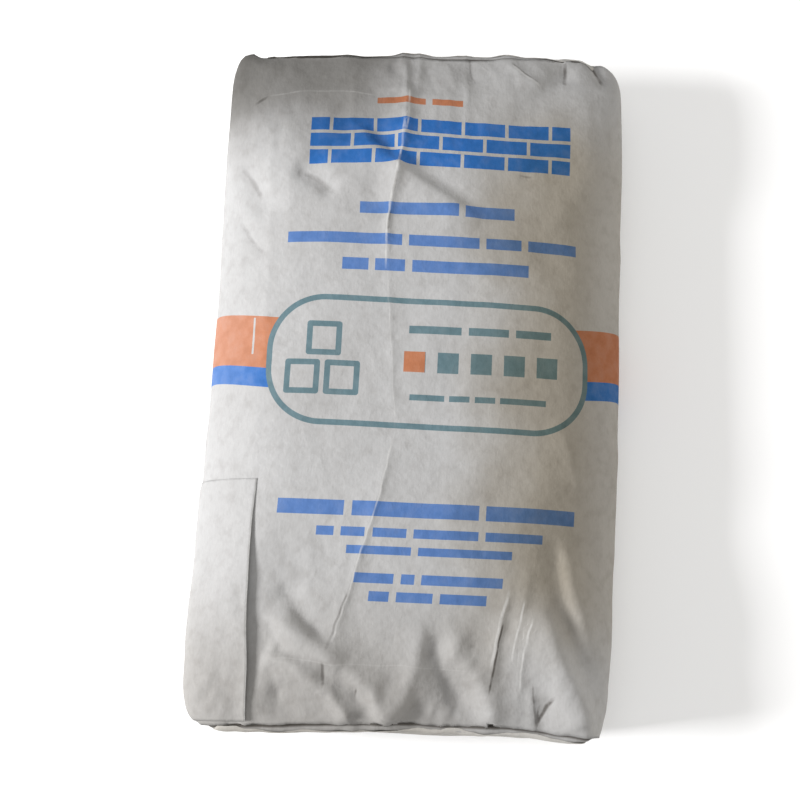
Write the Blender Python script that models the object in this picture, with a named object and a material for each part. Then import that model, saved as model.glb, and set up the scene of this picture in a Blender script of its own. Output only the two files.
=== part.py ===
"""A filled 50 kg cement sack of pasted kraft paper, lying on its back on a level floor.

X runs across the sack, Y along it towards its valve end, and Z up. The origin is on the floor, under the middle of
the sack. All sizes are in metres.
"""

import math

import bmesh
import bpy

# The sack
CREASE_LENGTH = 0.690  # between the creases where the upper face turns down into the two ends
SIDE_WIDTH = 0.424  # across the bulging sides
HEIGHT = 0.130  # at the crown of the upper face
SIDE_LEVEL = 0.055  # height at which the sides stand out furthest
MIDDLE_X = 0.0015  # the sack's own middle line, moved over so that sack and lap together are centred

# The block ends
END_WIDTH = 0.385
END_TOP = 0.108  # height of the upper crease
END_LIFT = 0.004  # the lower crease is rolled this far off the floor
END_BULGE = 0.016  # the fill pushes the middle of each end out by this much
CORNER_RUN = 0.034  # length of the rounded corner, seen from above

# The section's roundness, as exponents of a superellipse: 2 is an ellipse and more is squarer
UPPER_ROUNDNESS = (2.5, 7.0)  # in the middle of the sack, and at its ends
CROWN_ROUNDNESS = 6  # along the sack: the crown stays high and falls off close to the ends
LOWER_ROUNDNESS = 4.0
FLAT_DEPTH = 0.005  # the lower curve is cut off this far up, which leaves the flat that the sack lies on

# The puffed corner over the valve, which stands out past the end patch
LOBE_OUT = 0.014
LOBE_CENTRE = (-0.196, 0.345, 0.085)
LOBE_REACH = (0.014, 0.032, 0.034)

# The ends settled out of square when the sack was filled
TOP_SLANT = 0.040  # the top crease runs further out to the right, for each metre across
TOP_SHIFT = -0.0033
BOTTOM_BOW = 0.22  # the bottom crease's corners reach further out, for each square metre across
BOTTOM_SHIFT = 0.002
SETTLING_REACH = 0.12  # how far from the crease the settling fades out
SETTLING_LOW_SHARE = 0.45  # of it that is left at the floor

# Main folds of the upper face: start, end, height (below 0 for a valley) and reach to each side
FOLDS = (
    ((-0.125, -0.247), (-0.012, -0.345), 0.0070, 0.017),
    ((-0.105, -0.220), (-0.045, -0.285), -0.0040, 0.015),
    ((-0.115, -0.290), (-0.048, -0.345), 0.0060, 0.014),
    ((0.012, -0.235), (-0.010, -0.345), 0.0065, 0.016),
    ((0.064, -0.205), (0.073, -0.345), 0.0045, 0.018),
    ((0.120, -0.195), (0.188, -0.345), 0.0075, 0.018),
    ((0.146, -0.160), (0.184, -0.290), 0.0035, 0.014),
    ((-0.034, 0.345), (-0.031, 0.150), 0.0030, 0.014),
    ((0.020, 0.345), (0.035, 0.200), 0.0030, 0.020),
)
FOLD_LEVELS = (0.070, 0.100)  # folds start and are whole at these heights
FOLD_SIDE = (-0.143, -0.120)  # the paper is smooth under the lap, left of here
FOLD_END = (0.342, 0.322)  # folds fade out towards the end creases

# Pasted paper
PATCH_THICKNESS = 0.0008
PATCH_SHARE = 0.93  # of the end's width and height that the cover patch takes up
PASTE_GAP = 0.0005

# The loose lap of the outer ply, on the left of the upper face
LAP_THICKNESS = 0.0009
LAP_EDGE = 0.1500  # from the sack's middle line to the lap's free edge, around the section
LAP_GIRTH = 0.146  # from the free edge round the side to the end of the lap
LAP_Y = (-0.3405, -0.1155)
LAP_GAP = 0.0009  # between the lap and the sack where they are pasted
LAP_LIFT = 0.0075  # height of the gaping edge
LAP_OPEN_WIDTH = 0.055  # how far from its edge the lap stands clear of the sack
LAP_SIDE_PUFF = 0.0012
LAP_PUFF_PLACE = 0.085
LAP_PUFF_REACH = 0.035
LAP_COLUMNS = 21

RING_POINTS = 84
STATIONS = 44
DENSE = 720
CAP_SCALES = (0.965, PATCH_SHARE, 0.87, 0.78, 0.65, 0.48, 0.28, 0.10)
PATCH_SCALES = CAP_SCALES[1:]

HALF_LENGTH = CREASE_LENGTH / 2
END_MIDDLE = (END_TOP + END_LIFT) / 2

PAPER = (0.60, 0.57, 0.53)
PATCH_PAPER = (0.56, 0.54, 0.49)


def smooth_step(low, high, value):
    """0 below low, 1 above high, and a smooth rise between them."""
    share = min(max((value - low) / (high - low), 0.0), 1.0)
    return share * share * (3.0 - 2.0 * share)


def half_width(y):
    """Half the width of the section at y, with the corners rounded as seen from above."""
    into_corner = max(0.0, abs(y) - (HALF_LENGTH - CORNER_RUN)) / CORNER_RUN
    shrink = 1.0 - math.sqrt(max(0.0, 1.0 - into_corner**2))
    return SIDE_WIDTH / 2 - (SIDE_WIDTH - END_WIDTH) / 2 * shrink


def crown_height(y):
    """Height of the upper face on the middle line."""
    return HEIGHT - (HEIGHT - END_TOP) * (abs(y) / HALF_LENGTH) ** CROWN_ROUNDNESS


def section_point(y, angle):
    """A point of the sack's section at y. The angle is 0 at the right side and 90 degrees at the crown."""
    across, up = math.cos(angle), math.sin(angle)
    end_share = smooth_step(0.16, HALF_LENGTH, abs(y))
    if up >= 0.0:
        exponent = UPPER_ROUNDNESS[0] + (UPPER_ROUNDNESS[1] - UPPER_ROUNDNESS[0]) * end_share
        reach = crown_height(y) - SIDE_LEVEL
    else:
        exponent = LOWER_ROUNDNESS
        lift = (END_LIFT + FLAT_DEPTH) * smooth_step(0.30, HALF_LENGTH, abs(y))
        reach = SIDE_LEVEL + FLAT_DEPTH - lift
    x = MIDDLE_X + half_width(y) * math.copysign(abs(across) ** (2.0 / exponent), across)
    z = SIDE_LEVEL + reach * math.copysign(abs(up) ** (2.0 / exponent), up)
    return x, max(z, 0.0)


def dense_section(y):
    """The section at y as many close points, from the middle of the underside anticlockwise."""
    return [section_point(y, -math.pi / 2 + 2 * math.pi * i / DENSE) for i in range(DENSE)]


def stations():
    """Places of the sections along Y, closer together towards the ends."""
    turns = [math.pi * (i / (STATIONS - 1) - 0.5) for i in range(STATIONS)]
    return [HALF_LENGTH * math.sin(turn) for turn in turns]


def even_section(y):
    """The section at y as RING_POINTS points, evenly spaced along the paper."""
    dense = dense_section(y)
    dense.append(dense[0])
    lengths = [0.0]
    for (x0, z0), (x1, z1) in zip(dense, dense[1:]):
        lengths.append(lengths[-1] + math.hypot(x1 - x0, z1 - z0))
    ring = []
    place = 0
    for i in range(RING_POINTS):
        wanted = lengths[-1] * i / RING_POINTS
        while lengths[place + 1] < wanted:
            place += 1
        share = (wanted - lengths[place]) / max(lengths[place + 1] - lengths[place], 1e-12)
        (x0, z0), (x1, z1) = dense[place], dense[place + 1]
        ring.append((x0 + share * (x1 - x0), z0 + share * (z1 - z0)))
    return ring


def settled(x, y, z):
    """The point after the ends have settled out of square and the fill has puffed out the valve corner."""
    slant = (TOP_SHIFT + TOP_SLANT * x) * smooth_step(HALF_LENGTH - SETTLING_REACH, HALF_LENGTH, y)
    bow = (BOTTOM_SHIFT - BOTTOM_BOW * x * x) * smooth_step(HALF_LENGTH - SETTLING_REACH, HALF_LENGTH, -y)
    share = SETTLING_LOW_SHARE + (1.0 - SETTLING_LOW_SHARE) * smooth_step(0.0, END_TOP, z)
    near = sum(((v - c) / r) ** 2 for v, c, r in zip((x, y, z), LOBE_CENTRE, LOBE_REACH))
    push = LOBE_OUT * math.exp(-near)
    return x, y + (slant + bow) * share + push, z + 0.3 * push


def folded(x, y, z):
    """The height of a point of the upper face after its main folds are raised."""
    rise = 0.0
    for (ax, ay), (bx, by), height, reach in FOLDS:
        length = math.hypot(bx - ax, by - ay)
        along = ((x - ax) * (bx - ax) + (y - ay) * (by - ay)) / length**2
        nearest = min(max(along, 0.0), 1.0)
        away = math.hypot(x - ax - nearest * (bx - ax), y - ay - nearest * (by - ay))
        free = along if abs(ay) < abs(by) else 1.0 - along
        rise += height * math.exp(-((away / reach) ** 2)) * smooth_step(-0.05, 0.25, free)
    clear = smooth_step(*FOLD_SIDE, x) * (1.0 - smooth_step(FOLD_END[1], FOLD_END[0], abs(y)))
    return z + rise * clear * smooth_step(*FOLD_LEVELS, z)


def cap_ring(end, scale, clearance=0.0):
    """A ring of the bulging end face: the crease's own outline, scaled towards the end's middle."""
    outline = even_section(end * HALF_LENGTH)
    out = HALF_LENGTH + END_BULGE * (1.0 - scale**4) + clearance
    ring = []
    for x, z in outline:
        ring_x = MIDDLE_X + (x - MIDDLE_X) * scale
        ring.append(settled(ring_x, end * out, END_MIDDLE + (z - END_MIDDLE) * scale))
    return ring


def add_ring(shape, points):
    """Adds a ring of vertices to the mesh being built."""
    return [shape.verts.new(p) for p in points]


def join_rings(shape, first, second):
    """Adds the band of faces between two rings of the same length."""
    count = len(first)
    for i in range(count):
        j = (i + 1) % count
        shape.faces.new((first[i], first[j], second[j], second[i]))


def close_ring(shape, ring, middle):
    """Closes a ring with a fan of faces around a middle point."""
    centre = shape.verts.new(middle)
    for i in range(len(ring)):
        shape.faces.new((ring[i], ring[(i + 1) % len(ring)], centre))


def finish_object(name, shape, material):
    """Turns a built mesh into a named, smooth-shaded object at the origin."""
    bmesh.ops.recalc_face_normals(shape, faces=shape.faces)
    mesh = bpy.data.meshes.new(name)
    shape.to_mesh(mesh)
    shape.free()
    mesh.shade_smooth()
    mesh.set_sharp_from_angle(angle=math.radians(35))
    mesh.materials.append(material)
    part = bpy.data.objects.new(name, mesh)
    bpy.context.scene.collection.objects.link(part)
    return part


def make_material(name, colour, roughness):
    """A paper finish."""
    material = bpy.data.materials.new(name)
    material.use_nodes = True
    shader = material.node_tree.nodes["Principled BSDF"]
    shader.inputs["Base Color"].default_value = (*colour, 1.0)
    shader.inputs["Roughness"].default_value = roughness
    shader.inputs["Metallic"].default_value = 0.0
    return material


def build_sack(material):
    """The closed paper sack with its fill: a tube of sections and two bulging ends."""
    shape = bmesh.new()
    rings = []
    for y in stations():
        rings.append(add_ring(shape, [settled(x, y, folded(x, y, z)) for x, z in even_section(y)]))
    for first, second in zip(rings, rings[1:]):
        join_rings(shape, first, second)
    for end, crease in ((-1, rings[0]), (1, rings[-1])):
        last = crease
        for scale in CAP_SCALES:
            ring = add_ring(shape, cap_ring(end, scale))
            join_rings(shape, last, ring)
            last = ring
        close_ring(shape, last, settled(MIDDLE_X, end * (HALF_LENGTH + END_BULGE), END_MIDDLE))
    return finish_object("filled_sack", shape, material)


def build_patch(name, end, material):
    """A cover patch: a sheet of paper pasted over an end, following its bulge."""
    shape = bmesh.new()
    skins = []
    for clearance in (PASTE_GAP, PASTE_GAP + PATCH_THICKNESS):
        outer = add_ring(shape, cap_ring(end, PATCH_SCALES[0], clearance))
        last = outer
        for scale in PATCH_SCALES[1:]:
            ring = add_ring(shape, cap_ring(end, scale, clearance))
            join_rings(shape, last, ring)
            last = ring
        tip = end * (HALF_LENGTH + END_BULGE + clearance)
        close_ring(shape, last, settled(MIDDLE_X, tip, END_MIDDLE))
        skins.append(outer)
    join_rings(shape, *skins)
    return finish_object(name, shape, material)


def lap_gap(girth, y):
    """Gap between the lap and the sack: open along the free edge, pasted at the lap's ends."""
    opening = smooth_step(LAP_Y[1], -0.235, y) * (1.0 - 0.65 * smooth_step(-0.28, LAP_Y[0], y))
    edge_share = max(0.0, 1.0 - girth / LAP_OPEN_WIDTH)
    side_share = math.exp(-(((girth - LAP_PUFF_PLACE) / LAP_PUFF_REACH) ** 2))
    return LAP_GAP + LAP_LIFT * opening * edge_share**2 + LAP_SIDE_PUFF * side_share


def lap_line(y, extra):
    """One line of the lap at y, from its free edge round the side of the sack."""
    points = []
    travelled = 0.0
    dense = dense_section(y)[DENSE // 2 :]
    for (x0, z0), (x1, z1) in zip(dense, dense[1:]):
        step = math.hypot(x1 - x0, z1 - z0)
        girth = LAP_GIRTH * len(points) / (LAP_COLUMNS - 1)
        if len(points) < LAP_COLUMNS and travelled + step >= LAP_EDGE + girth:
            away = (lap_gap(girth, y) + extra) / step
            points.append(settled(x0 + away * (z1 - z0), y, z0 + away * (x0 - x1)))
        travelled += step
    return points


def build_lap(material):
    """The loose lap of the outer ply, from its free edge round the left side of the sack."""
    shape = bmesh.new()
    skins = []
    for extra in (0.0, LAP_THICKNESS):
        rows = [y for y in stations() if LAP_Y[0] < y < LAP_Y[1]] + [LAP_Y[1]]
        skins.append([add_ring(shape, lap_line(y, extra)) for y in rows])
    for grid in skins:
        for lower, upper in zip(grid, grid[1:]):
            for c in range(LAP_COLUMNS - 1):
                shape.faces.new((lower[c], lower[c + 1], upper[c + 1], upper[c]))
    rims = []
    for grid in skins:
        left = [line[0] for line in grid]
        right = [line[-1] for line in reversed(grid)]
        rims.append(left[:-1] + grid[-1][:-1] + right[:-1] + list(reversed(grid[0]))[:-1])
    join_rings(shape, *rims)
    return finish_object("seam_lap", shape, material)


def main():
    """Builds the sack and the papers that are pasted to it."""
    for old in list(bpy.data.objects):
        bpy.data.objects.remove(old)
    paper = make_material("kraft_paper", PAPER, 0.85)
    patch_paper = make_material("patch_paper", PATCH_PAPER, 0.85)
    build_sack(paper)
    build_patch("bottom_end_patch", -1, patch_paper)
    build_patch("top_end_patch", 1, patch_paper)
    build_lap(paper)


main()
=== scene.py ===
"""The looks of a filled cement sack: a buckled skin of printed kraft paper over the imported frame.

Everything is in metres. X runs across the sack, Y along it towards its valve end, and Z up from the floor.
"""

import logging
import math
from collections.abc import Mapping, Sequence
from dataclasses import dataclass
from enum import Enum

import bmesh
import bpy
import numpy as np
from mathutils import Matrix, Vector
from mathutils.bvhtree import BVHTree


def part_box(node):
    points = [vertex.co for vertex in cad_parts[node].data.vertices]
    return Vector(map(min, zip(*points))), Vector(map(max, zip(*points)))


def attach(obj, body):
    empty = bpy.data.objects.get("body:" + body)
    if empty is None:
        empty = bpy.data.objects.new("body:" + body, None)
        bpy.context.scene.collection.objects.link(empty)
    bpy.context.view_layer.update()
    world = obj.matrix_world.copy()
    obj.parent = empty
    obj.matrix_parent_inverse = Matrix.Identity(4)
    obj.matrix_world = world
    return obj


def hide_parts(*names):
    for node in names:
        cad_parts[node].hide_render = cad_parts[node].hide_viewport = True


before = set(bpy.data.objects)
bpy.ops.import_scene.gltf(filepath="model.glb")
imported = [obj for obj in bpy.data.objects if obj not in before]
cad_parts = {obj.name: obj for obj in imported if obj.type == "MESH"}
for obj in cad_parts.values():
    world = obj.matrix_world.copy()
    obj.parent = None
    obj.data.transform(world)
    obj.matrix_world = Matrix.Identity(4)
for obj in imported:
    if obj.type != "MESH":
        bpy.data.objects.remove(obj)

LOG = logging.getLogger("cement_sack")
PAPER_MAP = "paper"
LIT_WORN_EDGE = "wear"
GAP = "_gap"
# The fold lines' attributes: pale lines of rubbed paper and painted highlight, dark lines of painted shade.
LINE_NAMES = {"rubbed_line": True, "dark_line": False}
LIP_PLACE = 0.345  # where the end creases lie on the flat paper
PASTED_GAP = 0.0004  # between two papers that are pasted together
FADE_START = -0.02  # share of a path at which a fold or line starts to show
LATTICE = 64  # cells after which the noise repeats
WHITE = (1.0, 1.0, 1.0, 1.0)
BLACK = (0.0, 0.0, 0.0, 1.0)
RGB = tuple[float, float, float]
Point = tuple[float, float]
Array = np.ndarray
Piece = bpy.types.Object
Socket = bpy.types.NodeSocket


class Crest(Enum):
    """How the top of a fold is shaped."""

    SHARP = 1.0
    ROUND = 2.0


class Ink(Enum):
    """The three inks of the print, as linear colours."""

    BLUE = (0.015, 0.100, 0.320)
    ORANGE = (0.330, 0.125, 0.060)
    TEAL = (0.085, 0.140, 0.160)


def smooth_step(low: float, high: float, value: Array) -> Array:
    """A smooth change from 0 at low to 1 at high, which may lie on either side of low."""
    share = np.clip((np.asarray(value, float) - low) / (high - low), 0.0, 1.0)
    return share * share * (3.0 - 2.0 * share)


def bell(value: Array, middle: float, reach: float) -> Array:
    """A smooth bump of height 1 around a middle."""
    return np.exp(-(((value - middle) / reach) ** 2))


def at_least(least: float, share: Array) -> Array:
    """A share that rises from a least value, where it is 0, to 1."""
    return least + (1.0 - least) * share


def curve_through(points: Sequence[Point], value: Array) -> Array:
    """A smooth curve through a few points.

    Args:
        points: Places and heights, in rising order of place.
        value: The places to read.

    Returns:
        The curve's height at each place.
    """
    places, heights = np.array(points).T
    slopes = np.gradient(heights, places)
    value = np.clip(np.asarray(value, float), places[0], places[-1])
    index = np.clip(np.searchsorted(places, value) - 1, 0, len(places) - 2)
    gap = places[index + 1] - places[index]
    t = (value - places[index]) / gap
    start = (2 * t**3 - 3 * t**2 + 1) * heights[index] + (t**3 - 2 * t**2 + t) * gap * slopes[index]
    finish = (3 * t**2 - 2 * t**3) * heights[index + 1] + (t**3 - t**2) * gap * slopes[index + 1]
    return start + finish


def lattice_corners(x: Array, y: Array, seed: int) -> tuple[list[Array], Array, Array]:
    """Random heights at the corners of the lattice cell round each place.

    Args:
        x: First coordinate, in lattice cells.
        y: Second coordinate, in lattice cells.
        seed: Chooses the heights.

    Returns:
        The heights at the near corner, beside it, behind it and across from it, and the place in the cell.
    """
    heights = np.random.default_rng(seed).uniform(-1.0, 1.0, (LATTICE, LATTICE))
    column, row = np.floor(x).astype(int), np.floor(y).astype(int)
    steps = ((0, 0), (0, 1), (1, 0), (1, 1))
    corners = [heights[(row + up) % LATTICE, (column + over) % LATTICE] for up, over in steps]
    return corners, x - column, y - row


def value_noise(x: Array, y: Array, seed: int) -> Array:
    """Smooth seeded noise on a unit lattice.

    Args:
        x: First coordinate, in lattice cells.
        y: Second coordinate, in lattice cells.
        seed: Chooses the pattern.

    Returns:
        Noise between -1 and 1.
    """
    (near, beside, behind, far), s, t = lattice_corners(x, y, seed)
    s, t = s * s * (3 - 2 * s), t * t * (3 - 2 * t)
    lower = near * (1 - s) + beside * s
    upper = behind * (1 - s) + far * s
    return lower * (1 - t) + upper * t


def facet_noise(x: Array, y: Array, seed: int) -> Array:
    """Noise of flat triangular facets with sharp edges, as in crumpled paper.

    Args:
        x: First coordinate, in cells.
        y: Second coordinate, in cells.
        seed: Chooses the pattern.

    Returns:
        Noise between -1 and 1.
    """
    bent_x = x + 0.45 * value_noise(x * 0.7 + 3.3, y * 0.7 + 1.7, seed + 50)
    bent_y = y + 0.45 * value_noise(x * 0.7 + 8.1, y * 0.7 + 5.9, seed + 51)
    slant = (bent_x + bent_y) * 0.366
    u, v = bent_x + slant, bent_y + slant
    (near, beside, behind, far), s, t = lattice_corners(u, v, seed)
    third = np.where(s > t, beside, behind)
    return near * (1 - np.maximum(s, t)) + third * np.abs(s - t) + far * np.minimum(s, t)


def lengths_along(points: Array) -> Array:
    """The distance walked from the first point to each point."""
    return np.concatenate([[0.0], np.cumsum(np.hypot(*np.diff(points, axis=0).T))])


def along_path(path: Sequence[Point], x: Array, y: Array) -> tuple[Array, Array]:
    """Where places lie relative to a path.

    Args:
        path: The path's points.
        x: Places across the sack.
        y: Places along it.

    Returns:
        The distance from the path, negative to its left, and the share of the path walked there.
    """
    nearest = np.full(x.shape, np.inf)
    along = np.zeros(x.shape)
    side = np.ones(x.shape)
    steps = [math.dist(a, b) for a, b in zip(path, path[1:])]
    walked = 0.0
    for (ax, ay), (bx, by), step in zip(path, path[1:], steps):
        dx, dy = (bx - ax) / step, (by - ay) / step
        t = np.clip((x - ax) * dx + (y - ay) * dy, 0.0, step)
        away = np.hypot(x - ax - t * dx, y - ay - t * dy)
        closer = away < nearest
        nearest = np.where(closer, away, nearest)
        along = np.where(closer, (walked + t) / sum(steps), along)
        side = np.where(closer, (x - ax) * dy - (y - ay) * dx, side)
        walked += step
    return np.copysign(nearest, side), along


@dataclass(frozen=True)
class Fold:
    """A fold in the upper face, pressed up or down along a path of a few points."""

    path: tuple[Point, ...]
    height: float
    left: float
    right: float
    crest: Crest = Crest.SHARP
    fade_in: float = 0.25
    fade_out: float = 0.25
    rounding: Point = (0.28, 0.0022)

    def lift(self, x: Array, y: Array) -> Array:
        """How far the fold moves the paper.

        Args:
            x: Places across the sack.
            y: Places along it.

        Returns:
            The rise at each place.
        """
        gap, along = along_path(self.path, x, y)
        nearest = np.abs(gap)
        reach = np.where(gap < 0.0, self.left, self.right)
        share, most = self.rounding
        rounding = min(share * min(self.left, self.right), most) if self.crest is Crest.SHARP else 0.0
        away = np.sqrt(nearest**2 + rounding**2) - rounding
        fade = smooth_step(FADE_START, self.fade_in, along)
        fade *= smooth_step(FADE_START, self.fade_out, 1.0 - along)
        return self.height * np.exp(-((away / reach) ** self.crest.value)) * fade


# Large folds: path, height (below 0 for a valley), reach to the left and to the right, crest and fades.
# They are pressed in before the fill pushes the paper out.
FOLDS = (
    Fold(((-0.13, -0.248), (-0.087, -0.272), (-0.053, -0.292), (-0.026, -0.315), (-0.006, -0.352)), 0.005,
         0.018, 0.012, fade_out=0.02),
    Fold(((-0.118, -0.208), (-0.094, -0.249), (-0.066, -0.28)), -0.004, 0.014, 0.01, Crest.ROUND),
    Fold(((-0.125, -0.284), (-0.095, -0.296), (-0.066, -0.315), (-0.046, -0.352)), 0.004, 0.014, 0.011,
         fade_out=0.02),
    Fold(((-0.118, -0.306), (-0.11, -0.345)), -0.004, 0.014, 0.016, Crest.ROUND),
    Fold(((0.018, -0.245), (0.012, -0.292), (-0.009, -0.345)), 0.004, 0.014, 0.02, fade_out=0.02),
    Fold(((0.04, -0.24), (0.031, -0.272), (0.047, -0.308), (0.078, -0.332)), -0.003, 0.012, 0.012,
         Crest.ROUND),
    Fold(((0.06, -0.24), (0.048, -0.27), (0.071, -0.294), (0.089, -0.34)), 0.0035, 0.016, 0.012,
         fade_out=0.02),
    Fold(((0.127, -0.22), (0.144, -0.267), (0.167, -0.312), (0.186, -0.352)), 0.008, 0.012, 0.022,
         Crest.ROUND, 0.3, 0.02),
    Fold(((0.138, -0.15), (0.15, -0.215), (0.165, -0.265)), -0.004, 0.01, 0.012, Crest.ROUND),
    Fold(((0.148, -0.15), (0.16, -0.205), (0.172, -0.247), (0.186, -0.29)), 0.0045, 0.012, 0.012),
    Fold(((0.14, -0.04), (0.168, -0.125)), 0.003, 0.01, 0.014),
    Fold(((-0.081, 0.264), (-0.043, 0.222), (0.005, 0.189), (0.045, 0.163), (0.07, 0.14)), 0.005, 0.01,
         0.026, Crest.ROUND),
    Fold(((-0.078, 0.276), (-0.03, 0.226), (0.018, 0.194), (0.06, 0.163)), -0.003, 0.014, 0.01,
         Crest.ROUND),
    Fold(((-0.138, 0.209), (-0.115, 0.201), (-0.085, 0.176)), -0.004, 0.014, 0.01, Crest.ROUND),
    Fold(((-0.022, 0.345), (-0.021, 0.233), (-0.035, 0.156)), 0.0025, 0.01, 0.014, Crest.ROUND,
         fade_in=0.2),
    Fold(((-0.196, 0.22), (-0.15, 0.15)), -0.0035, 0.014, 0.014, Crest.ROUND),
    Fold(((0.172, 0.365), (0.181, 0.342), (0.198, 0.322)), -0.0045, 0.008, 0.006, fade_in=0.02),
    Fold(((0.08, 0.345), (0.125, 0.312)), 0.003, 0.008, 0.012, fade_in=0.4),
)


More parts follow.
